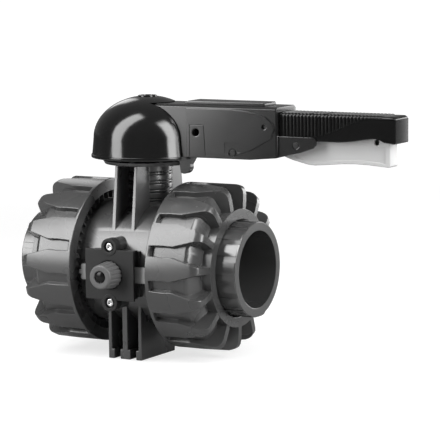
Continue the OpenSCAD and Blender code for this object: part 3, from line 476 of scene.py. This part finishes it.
def make_floor():
    """A white floor for the camera that keeps the shadow; to the object itself it is a dim grey one."""
    half = FLOOR_HALF
    mesh = bpy.data.meshes.new("floor")
    corners = [(-half, -half, 0), (half, -half, 0), (half, half, 0), (-half, half, 0)]
    mesh.from_pydata(corners, [], [(0, 1, 2, 3)])
    floor = link_object("floor", mesh)
    floor.location.z = CAD_BOX[0].z - FLOOR_DROP
    material, nodes, links, shader = new_material("floor_white")
    coords = add_node(nodes, "ShaderNodeTexCoord")
    path = add_node(nodes, "ShaderNodeLightPath")
    paper = noise(nodes, links, coords, PAPER_SCALE)
    tone = spread(nodes, links, paper.outputs["Fac"], *FLOOR_WHITE)
    seen = add_node(nodes, "ShaderNodeMix", data_type="FLOAT", A=FLOOR_GREY)
    links.new(path.outputs["Is Camera Ray"], seen.inputs["Factor"])
    links.new(tone.outputs["Result"], seen.inputs["B"])
    links.new(seen.outputs["Result"], shader.inputs["Base Color"])
    shader.inputs["Roughness"].default_value = 0.9
    glow = add_node(nodes, "ShaderNodeEmission")
    share = add_node(nodes, "ShaderNodeMath", operation="MULTIPLY")
    share.inputs[1].default_value = FLOOR_GLOW_SHARE
    far = add_node(nodes, "ShaderNodeVectorMath", operation="LENGTH")
    links.new(coords.outputs["Object"], far.inputs[0])
    rise = add_node(nodes, "ShaderNodeMapRange", interpolation_type="SMOOTHSTEP")
    set_range(rise, FLOOR_GLOW_REACH, FLOOR_GLOW)
    links.new(far.outputs["Value"], rise.inputs["Value"])
    links.new(rise.outputs["Result"], glow.inputs["Strength"])
    mix = add_node(nodes, "ShaderNodeMixShader")
    links.new(path.outputs["Is Camera Ray"], share.inputs[0])
    links.new(share.outputs[0], mix.inputs["Fac"])
    links.new(shader.outputs[0], mix.inputs[1])
    links.new(glow.outputs[0], mix.inputs[2])
    links.new(mix.outputs[0], nodes["Material Output"].inputs["Surface"])
    floor.data.materials.append(material)


def make_world():
    """White for the camera; for gloss and fill a pale backdrop behind the object and a dim room in front."""
    world = bpy.data.worlds.new("studio")
    bpy.context.scene.world = world
    world.use_nodes = True
    nodes, links = world.node_tree.nodes, world.node_tree.links
    background = nodes["Background"]
    background.inputs["Color"].default_value = (1, 1, 1, 1)
    coords = add_node(nodes, "ShaderNodeTexCoord")
    split = add_node(nodes, "ShaderNodeSeparateXYZ")
    links.new(coords.outputs["Generated"], split.inputs[0])
    room = add_node(nodes, "ShaderNodeMapRange", interpolation_type="SMOOTHSTEP")
    set_range(room, ROOM_Y, ROOM_LIGHT)
    links.new(split.outputs["Y"], room.inputs["Value"])
    path = add_node(nodes, "ShaderNodeLightPath")
    strength = add_node(nodes, "ShaderNodeMix", data_type="FLOAT")
    strength.inputs["B"].default_value = 1.0
    links.new(path.outputs["Is Camera Ray"], strength.inputs["Factor"])
    links.new(room.outputs["Result"], strength.inputs["A"])
    links.new(strength.outputs["Result"], background.inputs["Strength"])


def soften(data, edge):
    """Fades an area light's glow towards its four sides, over this share of its width and height."""
    data.use_nodes = True
    nodes, links = data.node_tree.nodes, data.node_tree.links
    place = add_node(nodes, "ShaderNodeNewGeometry")
    split = add_node(nodes, "ShaderNodeSeparateXYZ")
    links.new(place.outputs["Parametric"], split.inputs[0])
    fades = []
    for side in ("X", "Y"):
        centred = add_node(nodes, "ShaderNodeMath", operation="SUBTRACT")
        centred.inputs[1].default_value = 0.5
        links.new(split.outputs[side], centred.inputs[0])
        size = add_node(nodes, "ShaderNodeMath", operation="ABSOLUTE")
        links.new(centred.outputs[0], size.inputs[0])
        fade = add_node(nodes, "ShaderNodeMapRange", interpolation_type="SMOOTHSTEP")
        fade.inputs["From Min"].default_value = 0.5
        fade.inputs["From Max"].default_value = 0.5 - edge
        links.new(size.outputs[0], fade.inputs["Value"])
        fades.append(fade)
    both = add_node(nodes, "ShaderNodeMath", operation="MULTIPLY")
    for i, fade in enumerate(fades):
        links.new(fade.outputs["Result"], both.inputs[i])
    links.new(both.outputs[0], nodes["Emission"].inputs["Strength"])


def softbox(name, foot, head, width, radiance, edge):
    """A long soft light from a foot to a head point, each as azimuth, distance from the stem and height."""
    low, high = (direction(azimuth, 0) * distance + Vector((0, 0, height))
                 for azimuth, distance, height in (foot, head))
    length = (high - low).length
    centre = (low + high) / 2
    data = bpy.data.lights.new(name, "AREA")
    data.shape = "RECTANGLE"
    data.size = width
    data.size_y = length
    data.energy = radiance * math.pi * width * length
    soften(data, edge)
    lamp = bpy.data.objects.new(name, data)
    bpy.context.scene.collection.objects.link(lamp)
    along = (high - low).normalized()
    away = (centre - AXIS_POINT).normalized()
    side = along.cross(away).normalized()
    turn = Matrix((side, along, side.cross(along))).transposed().to_4x4()
    lamp.matrix_world = Matrix.Translation(centre) @ turn


# Name, foot, head, width, radiance and the share of the width and height that fades
SOFTBOXES = (
    ("key_left", (-37.5, 1.17, 0.0), (-17, 0.21, 1.80), 0.50, 9.5, 0.16),
    ("side_right", (82, 1.25, 0.0), (72, 0.45, 1.10), 0.42, 12.0, 0.22),
    ("back_right", (159, 1.2, 0.0), (159, 1.2, 0.70), 0.62, 6.0, 0.10),
    ("back_left", (-137, 0.9, 0.36), (-137, 0.9, 0.95), 0.22, 2.2, 0.25),
)


def make_stage():
    make_floor()
    make_world()
    for box in SOFTBOXES:
        softbox(*box)
    bpy.context.scene.view_settings.view_transform = "Standard"


make_camera()
dress_all()
make_stage()
